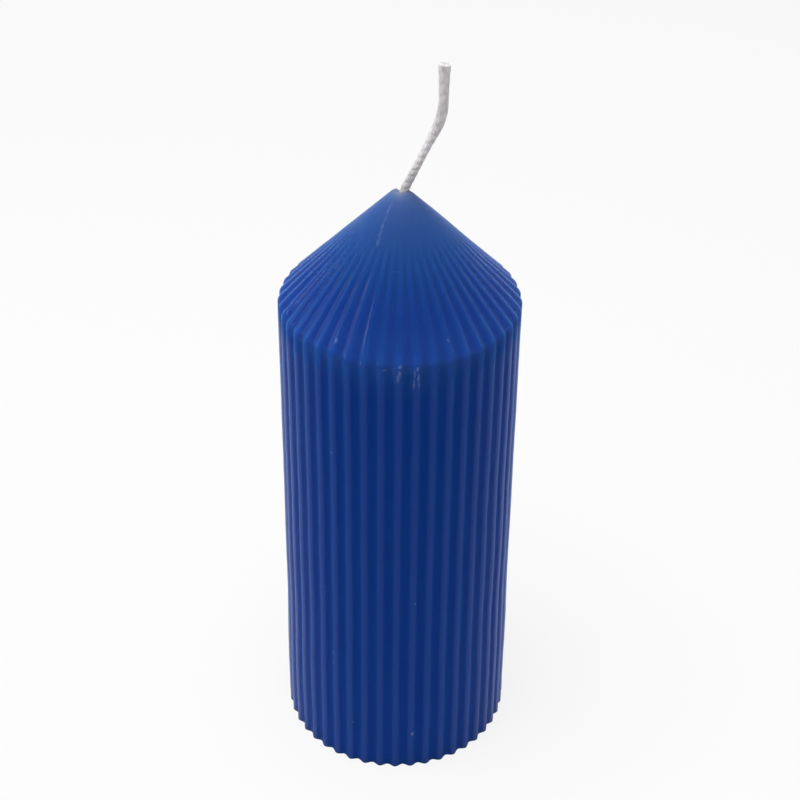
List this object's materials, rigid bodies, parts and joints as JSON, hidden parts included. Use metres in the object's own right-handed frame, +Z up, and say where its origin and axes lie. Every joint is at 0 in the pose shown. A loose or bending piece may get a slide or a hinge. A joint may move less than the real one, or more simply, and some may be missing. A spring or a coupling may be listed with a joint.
{
  "type": "pillar candle",
  "caption": "Ribbed wax pillar candle with a conical top, a bent flat braided wick and a stamped metal wick tab set into its flat base.",
  "frame": {"origin": "centre of the candle's flat base, on the surface it stands on", "axes": "+Z up along the candle towards the wick, -Y towards the pictured side, +X to that side's right, the way the wick leans"},
  "size_m": [0.06, 0.0599, 0.189],
  "materials": {
    "blue_wax": "satin through-dyed wax, faintly translucent at thin edges and at the tip",
    "wick_cotton": "waxed flat cotton braid, matt",
    "tinned_steel": "thin tinned sheet, satin"
  },
  "bodies": {
    "root": {"wax_body": "blue_wax", "wick": "wick_cotton", "wick_tab": "tinned_steel"}
  },
  "joints": []
}
